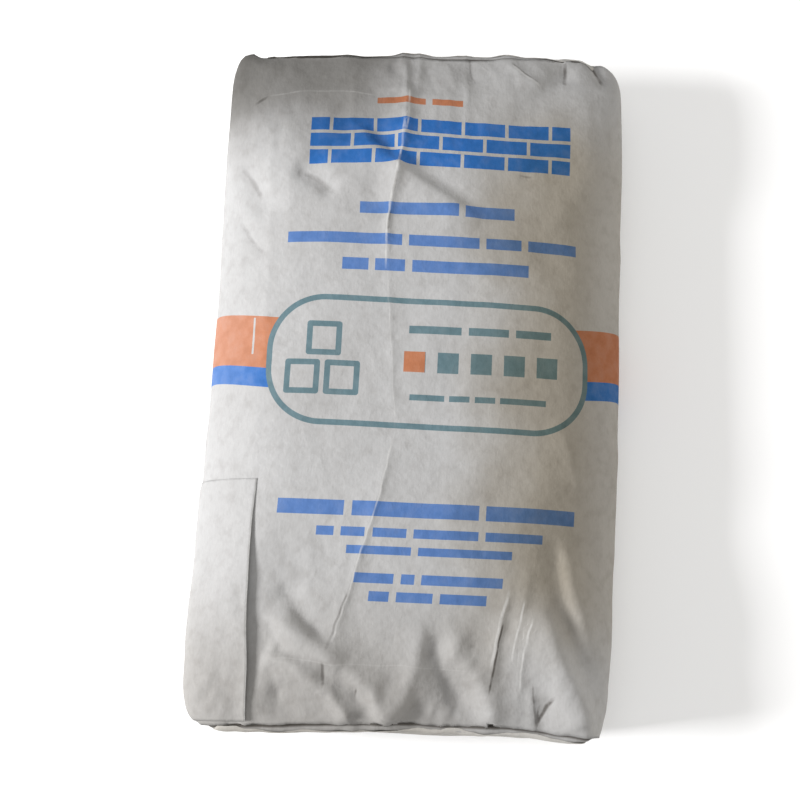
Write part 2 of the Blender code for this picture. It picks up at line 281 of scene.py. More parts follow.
# Fine creases, added to the finished skin.
CREASES = (
    Fold(((-0.132, -0.246), (-0.098, -0.265), (-0.06, -0.286), (-0.028, -0.309), (-0.006, -0.34)), 0.0098,
         0.02, 0.0085, fade_in=0.14, fade_out=0.06),
    Fold(((-0.12, -0.208), (-0.11, -0.23), (-0.095, -0.25), (-0.076, -0.268)), -0.0022, 0.012, 0.005),
    Fold(((-0.132, -0.25), (-0.123, -0.262), (-0.115, -0.274), (-0.114, -0.286)), -0.0028, 0.009, 0.004),
    Fold(((-0.13, -0.282), (-0.098, -0.294), (-0.067, -0.313), (-0.046, -0.34)), 0.0082, 0.011, 0.007,
         fade_in=0.08, fade_out=0.06),
    Fold(((-0.128, -0.288), (-0.119, -0.305), (-0.113, -0.328)), -0.002, 0.005, 0.006),
    Fold(((0.019, -0.24), (0.015, -0.277), (0.009, -0.302)), 0.0034, 0.015, 0.013),
    Fold(((0.011, -0.286), (0.004, -0.312), (-0.009, -0.338)), 0.0032, 0.009, 0.012, fade_out=0.08),
    Fold(((0.036, -0.251), (0.031, -0.276), (0.047, -0.308), (0.076, -0.327)), -0.0022, 0.009, 0.007),
    Fold(((0.06, -0.248), (0.05, -0.262), (0.05, -0.278), (0.071, -0.294), (0.087, -0.318), (0.089, -0.34)),
         0.0048, 0.012, 0.009, fade_out=0.1),
    Fold(((0.1, -0.206), (0.094, -0.238), (0.088, -0.264), (0.083, -0.308)), 0.0026, 0.0025, 0.007),
    Fold(((0.121, -0.183), (0.114, -0.221), (0.108, -0.257), (0.103, -0.292)), 0.0016, 0.004, 0.006),
    Fold(((0.123, -0.23), (0.118, -0.258), (0.112, -0.286), (0.111, -0.312)), 0.0018, 0.0035, 0.006),
    Fold(((0.123, -0.3), (0.124, -0.318), (0.128, -0.342)), 0.002, 0.003, 0.006, fade_out=0.1),
    Fold(((0.146, -0.308), (0.137, -0.32), (0.127, -0.338)), -0.002, 0.005, 0.005),
    Fold(((0.127, -0.222), (0.144, -0.267), (0.159, -0.294), (0.178, -0.336)), 0.005, 0.009, 0.018,
         fade_out=0.05),
    Fold(((0.141, -0.16), (0.15, -0.205), (0.165, -0.25)), -0.0026, 0.006, 0.013),
    Fold(((0.15, -0.165), (0.157, -0.2), (0.169, -0.238), (0.181, -0.276)), 0.0044, 0.01, 0.009),
    Fold(((0.147, -0.055), (0.169, -0.118)), 0.002, 0.009, 0.006),
    Fold(((0.144, 0.352), (0.1465, 0.338), (0.1455, 0.318)), -0.0024, 0.004, 0.004, fade_in=0.02),
    Fold(((0.043, 0.345), (0.046, 0.331), (0.052, 0.312)), -0.0016, 0.006, 0.005, fade_in=0.1),
    Fold(((0.085, 0.34), (0.099, 0.326), (0.123, 0.31)), 0.0022, 0.003, 0.006, fade_in=0.1),
    Fold(((0.089, 0.33), (0.093, 0.306)), -0.0012, 0.004, 0.004),
    Fold(((0.172, 0.356), (0.18, 0.337), (0.188, 0.318)), -0.0026, 0.006, 0.004, fade_in=0.02),
    Fold(((-0.178, 0.279), (-0.165, 0.288), (-0.123, 0.295), (-0.091, 0.296), (-0.051, 0.292)), 0.0014,
         0.008, 0.006),
    Fold(((-0.082, 0.27), (-0.06, 0.242), (-0.032, 0.214), (0.005, 0.189), (0.045, 0.164), (0.062, 0.146)),
         0.0024, 0.006, 0.016),
    Fold(((-0.134, 0.207), (-0.116, 0.202), (-0.088, 0.179)), -0.0022, 0.012, 0.005),
    Fold(((-0.191, 0.216), (-0.181, 0.201), (-0.166, 0.176)), -0.002, 0.008, 0.004),
    Fold(((-0.19, 0.158), (-0.179, 0.138), (-0.157, 0.112)), -0.0018, 0.008, 0.004),
    Fold(((-0.022, 0.342), (-0.021, 0.29), (-0.022, 0.24), (-0.027, 0.196), (-0.034, 0.159), (-0.033,
         0.095)), 0.0032, 0.003, 0.006, fade_in=0.1),
    Fold(((-0.017, 0.31), (-0.017, 0.262), (-0.021, 0.228)), 0.0016, 0.004, 0.003),
    Fold(((-0.033, 0.114), (-0.023, 0.008), (-0.017, -0.062)), 0.001, 0.003, 0.005),
    Fold(((-0.015, -0.062), (-0.029, -0.129), (-0.052, -0.218), (-0.068, -0.276)), 0.0018, 0.003, 0.005),
    Fold(((-0.073, -0.284), (-0.074, -0.308)), -0.0016, 0.005, 0.004),
    Fold(((-0.041, -0.308), (-0.045, -0.32)), -0.0012, 0.004, 0.003),
    Fold(((-0.13, -0.286), (-0.04, -0.289), (0.06, -0.287)), 0.0005, 0.004, 0.004),
    Fold(((-0.04, 0.29), (0.04, 0.296), (0.15, 0.3)), 0.0006, 0.005, 0.005),
    Fold(((0.099, 0.209), (0.112, 0.208)), -0.0012, 0.004, 0.004),
    Fold(((-0.158, -0.105), (-0.15, 0.03), (-0.154, 0.117), (-0.16, 0.225), (-0.165, 0.285)), 0.0007, 0.003,
         0.004),
    Fold(((-0.196, -0.33), (-0.178, -0.3)), 0.0018, 0.004, 0.005),
    Fold(((-0.188, -0.344), (-0.17, -0.316)), 0.0018, 0.004, 0.005),
    Fold(((-0.173, -0.346), (-0.16, -0.324)), 0.0016, 0.004, 0.004),
    Fold(((0.022, -0.342), (0.036, -0.316)), 0.0018, 0.004, 0.004),
    Fold(((0.036, -0.344), (0.05, -0.32)), 0.0016, 0.004, 0.004),
    Fold(((0.048, -0.344), (0.06, -0.326)), 0.0012, 0.003, 0.003),
    Fold(((0.06, 0.343), (0.078, 0.314)), 0.0012, 0.003, 0.005),
    Fold(((0.108, 0.345), (0.132, 0.328)), 0.0012, 0.003, 0.004),
    Fold(((0.152, 0.343), (0.168, 0.318)), 0.0014, 0.004, 0.004),
    Fold(((0.018, 0.342), (0.032, 0.3)), 0.0014, 0.004, 0.006),
    Fold(((-0.006, 0.338), (0.014, 0.29)), -0.0014, 0.006, 0.004),
    Fold(((-0.042, 0.334), (-0.014, 0.303)), -0.0018, 0.006, 0.004),
    Fold(((-0.04, 0.302), (-0.01, 0.29)), 0.002, 0.005, 0.005),
    Fold(((-0.034, 0.28), (-0.014, 0.266)), 0.0016, 0.004, 0.005),
    Fold(((-0.15, 0.262), (-0.153, 0.222)), -0.0014, 0.006, 0.004),
    Fold(((-0.166, 0.25), (-0.162, 0.218)), -0.0014, 0.006, 0.004),
    Fold(((-0.1, 0.16), (-0.04, 0.15)), 0.001, 0.005, 0.004),
    Fold(((0.07, 0.196), (0.1, 0.188), (0.116, 0.192)), -0.0012, 0.004, 0.005),
)


@dataclass(frozen=True)
class FoldLine:
    """A fine line along an old fold: dark as painted shade in the fold, pale as rubbed paper and painted
    highlight.
    """

    path: tuple[Point, ...]
    half_width: float
    strength: float
    pale: bool = False
    reach: Point = (0.0042, 0.0026)
    fade: float = 0.1

    def place(self, x: Array, y: Array) -> tuple[Array, Array]:
        """Where places lie relative to the line.

        Args:
            x: Places across the sack.
            y: Places along it.

        Returns:
            The distance from the line, signed by side, and how strongly it shows near there.
        """
        gap, along = along_path(self.path, x, y)
        near = smooth_step(*self.reach, np.abs(gap)) * smooth_step(FADE_START, self.fade, along)
        return gap, self.strength * near * smooth_step(FADE_START, self.fade, 1.0 - along)


# Path, half width, strength, and whether the line is pale.
# Dark lines are painted shade in the folds; pale lines are rubbed paper and painted highlight.
FOLD_LINES = (
    FoldLine(((0.0945, -0.242), (0.0895, -0.264), (0.085, -0.29), (0.083, -0.31)), 0.0009, 0.9),
    FoldLine(((-0.073, -0.286), (-0.074, -0.307)), 0.0013, 0.65),
    FoldLine(((-0.041, -0.308), (-0.044, -0.318)), 0.001, 0.7),
    FoldLine(((0.144, -0.311), (0.137, -0.32), (0.128, -0.337)), 0.0017, 0.85),
    FoldLine(((0.125, -0.298), (0.126, -0.318), (0.1295, -0.34)), 0.0011, 0.55),
    FoldLine(((-0.054, -0.221), (-0.062, -0.248), (-0.07, -0.276)), 0.001, 0.45),
    FoldLine(((0.1465, 0.349), (0.1465, 0.338), (0.1455, 0.32)), 0.0016, 0.75),
    FoldLine(((0.174, 0.353), (0.18, 0.337), (0.186, 0.325)), 0.0018, 0.8),
    FoldLine(((-0.179, 0.278), (-0.167, 0.286)), 0.0014, 0.6),
    FoldLine(((0.044, 0.345), (0.046, 0.331), (0.049, 0.318)), 0.0011, 0.45),
    FoldLine(((0.09, 0.339), (0.102, 0.327), (0.117, 0.317)), 0.0009, 0.5),
    FoldLine(((-0.0265, 0.202), (-0.03, 0.181)), 0.0013, 0.55),
    FoldLine(((-0.0325, 0.162), (-0.0335, 0.142)), 0.0011, 0.5),
    FoldLine(((-0.19, 0.212), (-0.181, 0.201), (-0.169, 0.18)), 0.0022, 0.28),
    FoldLine(((-0.188, 0.155), (-0.179, 0.138), (-0.161, 0.116)), 0.0018, 0.22),
    FoldLine(((-0.13, 0.206), (-0.111, 0.198), (-0.09, 0.181)), 0.0026, 0.25),
    FoldLine(((0.099, 0.209), (0.112, 0.208)), 0.0011, 0.4),
    FoldLine(((-0.0225, 0.268), (-0.0225, 0.236), (-0.028, 0.196), (-0.0345, 0.158), (-0.034, 0.1)), 0.001,
             0.45, True),
    FoldLine(((-0.0185, 0.3), (-0.0185, 0.266), (-0.02, 0.248)), 0.0009, 0.38, True),
    FoldLine(((-0.033, 0.1), (-0.023, 0.008), (-0.016, -0.062)), 0.0006, 0.2, True),
    FoldLine(((-0.016, -0.066), (-0.029, -0.129), (-0.044, -0.185), (-0.052, -0.219), (-0.068, -0.276)),
             0.0008, 0.36, True),
    FoldLine(((0.099, -0.212), (0.092, -0.24), (0.087, -0.262), (0.083, -0.288)), 0.0013, 0.36, True),
    FoldLine(((0.114, -0.221), (0.109, -0.25), (0.103, -0.28)), 0.0009, 0.36, True),
    FoldLine(((0.122, -0.237), (0.118, -0.258), (0.112, -0.288), (0.111, -0.305)), 0.0009, 0.42, True),
    FoldLine(((-0.165, 0.288), (-0.123, 0.295), (-0.091, 0.296), (-0.051, 0.292)), 0.0008, 0.12, True),
    FoldLine(((-0.12, -0.286), (-0.067, -0.286), (0.065, -0.289)), 0.0006, 0.09, True),
    FoldLine(((0.09, 0.3355), (0.102, 0.3245), (0.119, 0.3125)), 0.0009, 0.3, True),
)


@dataclass(frozen=True)
class Grain:
    """A layer of unevenness in the paper: seeded noise of one size."""

    height: float
    cell: Point
    start: Point
    seed: int
    lean: Point = (0.0, 0.0)
    faceted: bool = False

    def rise(self, x: Array, y: Array) -> Array:
        """How far the layer moves the paper.

        Args:
            x: First coordinate of the places.
            y: Second coordinate.

        Returns:
            The rise at each place.
        """
        noise = facet_noise if self.faceted else value_noise
        u = (x + self.lean[0] * y) / self.cell[0] + self.start[0]
        v = (y + self.lean[1] * x) / self.cell[1] + self.start[1]
        return self.height * noise(u, v, self.seed)


# The paper's unevenness before the fill pushes it out
UNEVEN = (Grain(0.0008, (0.045, 0.075), (3.0, 5.0), 21, (0.4, -0.3)),
          Grain(0.00048, (0.03, 0.06), (3.0, 8.0), 22, (-0.5, 0.0)))
# How far the creases and the fold lines stray from their paths
BENT_ACROSS = (Grain(0.0012, (0.022, 0.022), (0.0, 0.0), 31), Grain(0.0007, (0.009, 0.009), (0.0, 0.0), 32))
BENT_ALONG = Grain(0.0012, (0.022, 0.022), (7.0, 0.0), 33)
# Ripples of the long sides and of the ends, and the fine pleats along the ends
SIDE_RIPPLE = Grain(0.0009, (0.024, 0.035), (3.0, 0.0), 5)
END_RIPPLE = Grain(0.0006, (0.02, 0.02), (0.0, 7.0), 6)
PLEATS = Grain(1.0, (0.017, 0.09), (2.0, 6.0), 3)
# Facets, how much of them shows in the middle of the sack, and how much is added at its ends
CRUMPLE = (
    (Grain(0.0013, (0.055, 0.075), (11.0, 4.0), 1, faceted=True), 0.55, 1.0),
    (Grain(0.0006, (0.024, 0.042), (5.0, 9.0), 2, (0.35, 0.0), True), 0.6, 0.7),
    (Grain(0.00022, (0.01, 0.014), (5.0, 9.0), 4, (-0.5, 0.0), True), 0.7, 0.5),
)


@dataclass
class SackForm:
    """The form that the filled paper tube takes, worked out from the frame's solid."""

    low: Vector
    high: Vector
    drawn_length: float = 0.7206  # of the sack that the tables below are drawn for
    end_bulge: float = 0.008
    swell: float = 0.009
    end_width: float = 0.385
    end_top: float = 0.108
    end_lift: float = 0.004
    corner_run: float = 0.034
    side_level: float = 0.055
    crown_power: int = 4
    upper_power: float = 3.0
    upper_power_gain: float = 4.0
    lower_power: float = 4.0
    squarer_from: float = 0.16
    lifted_from: float = 0.3
    flat_depth: float = 0.005
    lip_depth: float = 0.0034
    brow: float = 0.005
    settling_run: float = 0.12
    least_settling: float = 0.45
    puff: float = 0.015
    puff_across: Point = (-0.197, 0.013)
    puff_along: float = 0.03
    puff_up: Point = (0.085, 0.034)
    puff_lift: float = 0.25
    dense: int = 1440
    left_side: tuple[Point, ...] = (
        (-0.345, 0.2062), (-0.3, 0.2095), (-0.24, 0.213), (-0.18, 0.213), (-0.1, 0.213),
        (0.0, 0.213), (0.125, 0.213), (0.194, 0.2145), (0.274, 0.2125), (0.345, 0.2102),
    )
    right_side: tuple[Point, ...] = (
        (-0.345, 0.195), (-0.29, 0.201), (-0.213, 0.207), (-0.112, 0.2113), (-0.008, 0.2135),
        (0.101, 0.213), (0.225, 0.2125), (0.295, 0.2095), (0.345, 0.2065),
    )
    top_crease: tuple[Point, ...] = (
        (-0.2, 0.339), (-0.136, 0.3435), (-0.03, 0.3445), (0.076, 0.3465), (0.15, 0.351), (0.2, 0.353),
    )
    bottom_crease: tuple[Point, ...] = (
        (-0.2, -0.352), (-0.13, -0.3485), (-0.054, -0.343), (0.002, -0.3405), (0.04, -0.342),
        (0.095, -0.34), (0.139, -0.343), (0.2, -0.348),
    )

    @property
    def middle_x(self) -> float:
        """The sack's middle line."""
        return (self.low.x + self.high.x) / 2

    @property
    def half_length(self) -> float:
        """From the middle to an end crease of the frame's solid."""
        return LIP_PLACE * (self.high.y - self.low.y) / self.drawn_length

    @property
    def end_middle(self) -> float:
        """Height of the middle of an end."""
        return (self.end_top + self.end_lift) / 2

    def crown(self, y: float) -> float:
        """Height of the upper face on the middle line."""
        slack_top = self.high.z - self.swell
        return slack_top - (slack_top - self.end_top) * (abs(y) / self.half_length) ** self.crown_power

    def section(self, y: float) -> Array:
        """The sack's section at one place along it.

        Args:
            y: The place along the sack.

        Returns:
            Close points X and Z, anticlockwise from the middle of the underside and back to it.
        """
        angle = np.linspace(-np.pi / 2, 1.5 * np.pi, self.dense + 1)
        across, up = np.cos(angle), np.sin(angle)
        into = max(0.0, abs(y) - (self.half_length - self.corner_run)) / self.corner_run
        shrink = 1.0 - math.sqrt(max(0.0, 1.0 - min(into, 1.0) ** 2))
        width = np.where(across > 0, curve_through(self.right_side, y), curve_through(self.left_side, y))
        width = width - (width - self.end_width / 2) * shrink
        end_share = smooth_step(self.squarer_from, self.half_length, abs(y))
        lift = (self.end_lift + self.flat_depth) * smooth_step(self.lifted_from, self.half_length, abs(y))
        power = np.where(up >= 0, self.upper_power + self.upper_power_gain * end_share, self.lower_power)
        reach = np.where(up >= 0, self.crown(y) - self.side_level, self.side_level + self.flat_depth - lift)
        x = self.middle_x + width * np.sign(across) * np.abs(across) ** (2 / power)
        z = self.side_level + reach * np.sign(up) * np.abs(up) ** (2 / power)
        return np.stack([x, np.maximum(z, 0.0)], axis=1)

    def ring(self, y: float, places: Array) -> tuple[Array, Array]:
        """A section as points at given shares of the way round.

        Args:
            y: The place along the sack.
            places: Shares of the girth, from the middle of the underside anticlockwise.

        Returns:
            The points X and Z, and each one's distance from the crown line, positive to the right.
        """
        points = self.section(y)
        lengths = lengths_along(points)
        x, z = (np.interp(places * lengths[-1], lengths, values) for values in points.T)
        return np.stack([x, z], axis=1), (0.5 - places) * lengths[-1]

    def settled(self, points: Array) -> Array:
        """The points after the ends have taken their own skew and the valve corner has puffed out.

        Args:
            points: Rows of X, Y and Z.

        Returns:
            The moved points.
        """
        x, y, z = points.T
        end = self.half_length
        top = (curve_through(self.top_crease, x) - end) * smooth_step(end - self.settling_run, end, y)
        bottom = (curve_through(self.bottom_crease, x) + end) * smooth_step(self.settling_run - end, -end, y)
        share = at_least(self.least_settling, smooth_step(0.0, self.end_top, z))
        puff = self.puff * bell(x, *self.puff_across) * bell(y, end, self.puff_along) * bell(z, *self.puff_up)
        return np.stack([x, y + (top + bottom) * share + puff, z + self.puff_lift * puff], axis=1)


@dataclass
class Skin:
    """The printed paper skin of the filled sack."""

    form: SackForm
    ring_points: int = 140
    stations: int = 142
    cap_scales: tuple[float, ...] = (0.988, 0.972, 0.93, 0.86, 0.76, 0.62, 0.44, 0.22)
    girth_crowding: float = 0.45
    length_crowding: float = 0.14
    flat_middle: float = 0.05
    end_paper: float = 0.055
    middle_bulge: float = 0.0004
    lip_crease: float = 0.75
    rest_level: float = 0.004
    tuck: Point = (0.984, 0.012)
    brow: Point = (0.9, 0.05)
    brow_levels: Point = (0.08, 0.098)
    brow_span: tuple[Point, Point] = ((-0.05, -0.025), (0.125, 0.09))
    fold_levels: Point = (0.07, 0.1)
    crease_levels: Point = (0.075, 0.1)
    pleat_height: float = 0.0007

    def places(self) -> Array:
        """Shares of the girth, closer together on the upper face."""
        t = np.arange(self.ring_points + 1) / self.ring_points
        return t + self.girth_crowding * np.sin(2 * np.pi * t) / (2 * np.pi)

    def levels(self) -> Array:
        """Places along the sack, closer together towards the ends."""
        t = np.linspace(-1.0, 1.0, self.stations)
        return self.form.half_length * (t - self.length_crowding * np.sin(np.pi * t))

    def rings(self) -> tuple[list[Array], list[Array]]:
        """All rings of the skin, from the middle of the bottom end to the middle of the top end.

        Returns:
            The rings' points, and each ring's places on the flat paper.
        """
        places = self.places()
        tube = []
        for y in self.levels():
            points, across = self.form.ring(y, places)
            along = np.full(len(points), y)
            ring = np.column_stack([points[:, 0], along, points[:, 1]])
            tube.append((ring, np.column_stack([across, along])))
        bottom = [self.cap_ring(*tube[0], -1, scale) for scale in reversed(self.cap_scales)]
        top = [self.cap_ring(*tube[-1], 1, scale) for scale in self.cap_scales]
        rings, maps = zip(*bottom, *tube, *top)
        return [self.form.settled(ring) for ring in rings], list(maps)

    def cap_ring(self, crease: Array, flat: Array, end: int, scale: float) -> tuple[Array, Array]:
        """A ring of an end: tucked in under the crease's lip, then bulging past it.

        Args:
            crease: The end crease's points.
            flat: The end crease's places on the flat paper.
            end: -1 for the bottom end and 1 for the valve end.
            scale: The ring's size as a share of the crease's.

        Returns:
            The ring's points and its places on the flat paper.
        """
        middle = np.array([self.form.middle_x, 0.0, self.form.end_middle])
        ring = middle + (crease - middle) * [scale, 1.0, scale]
        bulge = self.form.end_bulge * (1.0 - ((scale - self.flat_middle) / (1.0 - self.flat_middle)) ** 5)
        tuck = self.form.lip_depth * bell(scale, *self.tuck)
        upper = smooth_step(*self.brow_levels, ring[:, 2]) * bell(scale, *self.brow)
        if end > 0:
            for span in self.brow_span:
                upper *= smooth_step(*span, ring[:, 0])
        ring[:, 1] = end * (self.form.half_length + bulge - tuck + self.form.brow * upper)
        unrolled = np.column_stack([flat[:, 0] * scale, flat[:, 1] + end * (1.0 - scale) * self.end_paper])
        return ring, unrolled

    def build(self) -> Piece:
        """Makes the skin: folded paper that the fill pushes out, then its fine creases.

        Returns:
            The finished piece.
        """
        piece = self.base_piece()
        self.press(piece)
        Buckling().run(piece, self.rest_level)
        smooth = piece.modifiers.new("finer", "SUBSURF")
        smooth.levels = smooth.render_levels = 1
        apply_modifier(piece, smooth)
        self.crease(piece)
        piece.data.shade_smooth()
        return piece

    def base_piece(self) -> Piece:
        """The skin's base mesh, with its place on the flat paper as a UV map.

        Returns:
            The piece, without its folds.
        """
        rings, maps = self.rings()
        shape = bmesh.new()
        paper = shape.loops.layers.uv.new(PAPER_MAP)
        crease_layer = shape.edges.layers.float.new("crease_edge")
        count = self.ring_points
        rows = [[shape.verts.new(p) for p in ring[:-1]] for ring in rings]
        for lower, upper, low_map, high_map in zip(rows, rows[1:], maps, maps[1:]):
            for i in range(count):
                j = (i + 1) % count
                face = shape.faces.new((lower[j], lower[i], upper[i], upper[j]))
                corners = (low_map[i + 1], low_map[i], high_map[i], high_map[i + 1])
                for loop, place in zip(face.loops, corners):
                    loop[paper].uv = place
        for row, flat, end in ((rows[0], maps[0], -1), (rows[-1], maps[-1], 1)):
            middle = Vector((0.0, 0.0, 0.0))
            for vert in row:
                middle += vert.co / count
            centre = shape.verts.new(middle + Vector((0.0, end * self.middle_bulge, 0.0)))
            for i in range(count):
                face = shape.faces.new((row[i], row[(i + 1) % count], centre))
                for loop, place in zip(face.loops, (flat[i], flat[i + 1], (0.0, flat[i][1]))):
                    loop[paper].uv = place
        caps = len(self.cap_scales)
        for row in (rows[caps], rows[-caps - 1]):
            for i in range(count):
                edge = shape.edges.get((row[i], row[(i + 1) % count]))
                edge[crease_layer] = self.lip_crease
        bmesh.ops.recalc_face_normals(shape, faces=shape.faces)
        mesh = bpy.data.meshes.new("sack_skin")
        shape.to_mesh(mesh)
        shape.free()
        return add_to_scene("sack_skin", mesh)

    def press(self, piece: Piece) -> None:
        """Presses the large folds into the paper, and leaves it slightly uneven.

        Args:
            piece: The skin's base mesh.
        """
        points = mesh_points(piece)
        x, y, z = points.T
        rise = sum(grain.rise(x, y) for grain in UNEVEN) + sum(fold.lift(x, y) for fold in FOLDS)
        points[:, 2] += rise * smooth_step(*self.fold_levels, z)
        set_mesh_points(piece, points)

    def crease(self, piece: Piece) -> None:
        """Adds the fine creases and the crumpling, and marks the fold lines: dark ones of painted shade, pale
        ones of rubbed paper and painted highlight.

        Args:
            piece: The skin, already subdivided.
        """
        points = mesh_points(piece)
        x, y, z = points.T
        upper = smooth_step(*self.crease_levels, z)
        bent_x = x + sum(grain.rise(x, y) for grain in BENT_ACROSS)
        bent_y = y + BENT_ALONG.rise(x, y)
        rise = self.crumple(x, y) + sum(fold.lift(bent_x, bent_y) for fold in CREASES)
        normals = np.empty(points.size)
        piece.data.vertices.foreach_get("normal", normals)
        ripple = SIDE_RIPPLE.rise(y, z) + END_RIPPLE.rise(x, z)
        ripple *= (1.0 - upper) * smooth_step(self.rest_level, 0.03, z)
        points = points + normals.reshape(-1, 3) * (ripple + rise * upper)[:, None]
        points[:, 2] = np.maximum(points[:, 2], 0.0)
        set_mesh_points(piece, points)
        for name, pale in LINE_NAMES.items():
            gap, strength = self.fold_lines(pale, bent_x, bent_y)
            add_attribute(piece, name + GAP, gap)
            add_attribute(piece, name, strength * upper)

    def fold_lines(self, pale: bool, x: Array, y: Array) -> tuple[Array, Array]:
        """The nearest fold line of one kind at each place.

        Args:
            pale: Whether the pale lines are wanted, or else the dark ones.
            x: Places across the sack.
            y: Places along it.

        Returns:
            The distance from it in half widths, signed by side, and how strongly it shows near there.
        """
        nearest, gap, strength = np.full(x.shape, np.inf), np.zeros(x.shape), np.zeros(x.shape)
        for line in FOLD_LINES:
            if line.pale is not pale:
                continue
            line_gap, line_strength = line.place(x, y)
            closer = np.abs(line_gap) < nearest
            nearest = np.where(closer, np.abs(line_gap), nearest)
            gap = np.where(closer, line_gap / line.half_width, gap)
            strength = np.where(closer, line_strength, strength)
        return gap, strength

    def crumple(self, x: Array, y: Array) -> Array:
        """The paper's slight overall crumpling, stronger towards the ends.

        Args:
            x: Places across the sack.
            y: Places along it.

        Returns:
            The rise at each place.
        """
        ends = smooth_step(0.1, 0.32, np.abs(y))
        facets = sum(grain.rise(x, y) * (always + at_ends * ends) for grain, always, at_ends in CRUMPLE)
        return facets + self.pleat_height * (1.0 - 2.0 * np.abs(PLEATS.rise(x, y))) * ends**2


# The stiffness of heavy paper. The fill's pressure takes the place of gravity.
CLOTH_SETTINGS = {
    "quality": 5,
    "mass": 0.1,
    "tension_stiffness": 60.0,
    "compression_stiffness": 60.0,
    "shear_stiffness": 36.0,
    "bending_stiffness": 5.0,
    "tension_damping": 5.0,
    "compression_damping": 5.0,
    "shear_damping": 5.0,
    "vertex_group_mass": "held",
    "pin_stiffness": 1.0,
    "vertex_group_shrink": "slack",
    "shrink_min": 0.0,
    "use_pressure": True,
}


@dataclass
class Buckling:
    """Lets the fill push the folded paper out, by cloth simulation held close to the form."""

    frames: int = 25
    growth: float = 0.012
    hold: float = 0.01
    pressure: float = 2.0
    cap: float = 0.012
    least: float = 0.25
    floor_hold: float = 0.03
    end_hold: Point = (0.35, 0.358)
    slack_run: Point = (0.05, 0.32)
    slack_levels: Point = (0.03, 0.09)
    side_calm: Point = (0.18, 0.12)
    end_calm: Point = (0.34, 0.3)

    def run(self, piece: Piece, rest_level: float) -> None:
        """Runs the simulation and keeps its result.

        Args:
            piece: The skin's base mesh.
            rest_level: Paper below this height lies on the floor and is held.
        """
        before = mesh_points(piece)
        sides, ends, z = np.abs(before[:, 0]), np.abs(before[:, 1]), before[:, 2]
        fixed = np.maximum(smooth_step(self.floor_hold, rest_level, z), smooth_step(*self.end_hold, ends))
        slack = smooth_step(*self.slack_run, ends) * smooth_step(*self.slack_levels, z)
        self.weigh(piece, "held", at_least(self.hold, fixed))
        self.weigh(piece, "slack", at_least(self.least, slack))
        cloth = piece.modifiers.new("paper", "CLOTH")
        for name, value in CLOTH_SETTINGS.items():
            setattr(cloth.settings, name, value)
        cloth.settings.shrink_max = -self.growth
        cloth.settings.uniform_pressure_force = self.pressure
        cloth.settings.effector_weights.gravity = 0.0
        cloth.point_cache.frame_start, cloth.point_cache.frame_end = 1, self.frames
        for step in range(1, self.frames + 1):
            bpy.context.scene.frame_set(step)
        apply_modifier(piece, cloth)
        bpy.context.scene.frame_set(1)
        moved = mesh_points(piece) - before
        moved[:, 0] *= at_least(self.least, smooth_step(*self.side_calm, sides))
        moved[:, 1] *= at_least(self.least, smooth_step(*self.end_calm, ends))
        size = np.linalg.norm(moved, axis=1, keepdims=True)
        LOG.info("%s moved up to %.4f m, on average %.4f m", piece.name, size.max(), size.mean())
        moved *= np.tanh(size / self.cap) * self.cap / np.maximum(size, 1e-9)
        set_mesh_points(piece, before + moved)
        piece.vertex_groups.clear()

    def weigh(self, piece: Piece, name: str, weights: Array) -> None:
        """Adds a vertex group.

        Args:
            piece: The piece.
            name: The group's name.
            weights: A weight for each vertex.
        """
        group = piece.vertex_groups.new(name=name)
        steps = np.round(weights * 100).astype(int)
        for step in np.unique(steps):
            group.add(np.flatnonzero(steps == step).tolist(), step / 100, "REPLACE")


def add_to_scene(name: str, data: bpy.types.ID) -> Piece:
    """Makes an object of a mesh, a light or a camera.

    Args:
        name: The object's name.
        data: What it shows.

    Returns:
        The object.
    """
    made = bpy.data.objects.new(name, data)
    bpy.context.scene.collection.objects.link(made)
    return made


def mesh_points(piece: Piece) -> Array:
    """Reads a mesh's points.

    Args:
        piece: The piece.

    Returns:
        Rows of X, Y and Z.
    """
    points = np.empty(len(piece.data.vertices) * 3)
    piece.data.vertices.foreach_get("co", points)
    return points.reshape(-1, 3)


def set_mesh_points(piece: Piece, points: Array) -> None:
    """Moves the mesh's points to rows of X, Y and Z."""
    piece.data.vertices.foreach_set("co", points.ravel())
    piece.data.update()


def add_attribute(piece: Piece, name: str, values: Array) -> None:
    """Keeps a number at each of the mesh's points, under a name."""
    piece.data.attributes.new(name, "FLOAT", "POINT").data.foreach_set("value", values)


def apply_modifier(piece: Piece, modifier: bpy.types.Modifier) -> None:
    """Applies one modifier of a piece.

    Args:
        piece: The piece.
        modifier: Its modifier.
    """
    bpy.ops.object.select_all(action="DESELECT")
    piece.select_set(True)
    bpy.context.view_layer.objects.active = piece
    bpy.ops.object.modifier_apply(modifier=modifier.name)


